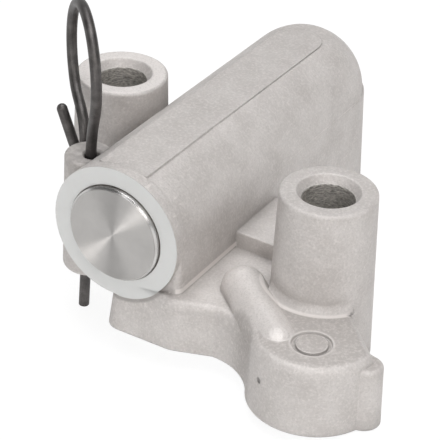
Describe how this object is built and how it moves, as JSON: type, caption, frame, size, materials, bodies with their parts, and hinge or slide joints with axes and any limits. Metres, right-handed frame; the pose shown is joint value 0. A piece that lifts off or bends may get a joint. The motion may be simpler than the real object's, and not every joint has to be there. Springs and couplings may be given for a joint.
{
  "type": "timing chain tensioner",
  "caption": "Hydraulic timing chain tensioner with a die-cast body, a plunger and a looped wire retaining pin.",
  "frame": {"origin": "on the axis of the right bolt hole, in the mounting face", "axes": "+Z leaves the mounting face along the bolt holes, -Y is the way the plunger comes out, +X runs from the barrel to the right bolt hole"},
  "size_m": [0.0602, 0.0659, 0.044],
  "materials": {
    "cast_body": "shot blasted",
    "turned_steel": "turned",
    "spring_steel": "drawn wire",
    "black_wire": "blackened drawn wire",
    "polished_steel": "polished"
  },
  "bodies": {
    "body": {"housing": "cast_body", "ratchet_ring": "spring_steel", "plunger_spring": "spring_steel"},
    "plunger_group": {"plunger": "turned_steel", "valve_seat": "turned_steel", "valve_cage": "turned_steel", "valve_spring": "spring_steel"},
    "ball": {"valve_ball": "polished_steel"},
    "pin": {"retaining_pin": "black_wire"}
  },
  "joints": [
    {"name": "plunger_slide", "type": "slide", "parent": "body", "child": "plunger_group", "axis": [0, -1, 0], "range_m": [0, 0.011], "deforming": ["plunger_spring", "ratchet_ring"]},
    {"name": "pin_pull", "type": "slide", "parent": "body", "child": "pin", "axis": [0.0426, 0, 0.9991], "range_m": [0, 0.03]},
    {"name": "ball_lift", "type": "slide", "parent": "plunger_group", "child": "ball", "axis": [0, 1, 0], "range_m": [0, 0.0004], "stiffness_N_per_m": 50, "springref_m": -0.0004, "deforming": ["valve_spring"]}
  ]
}
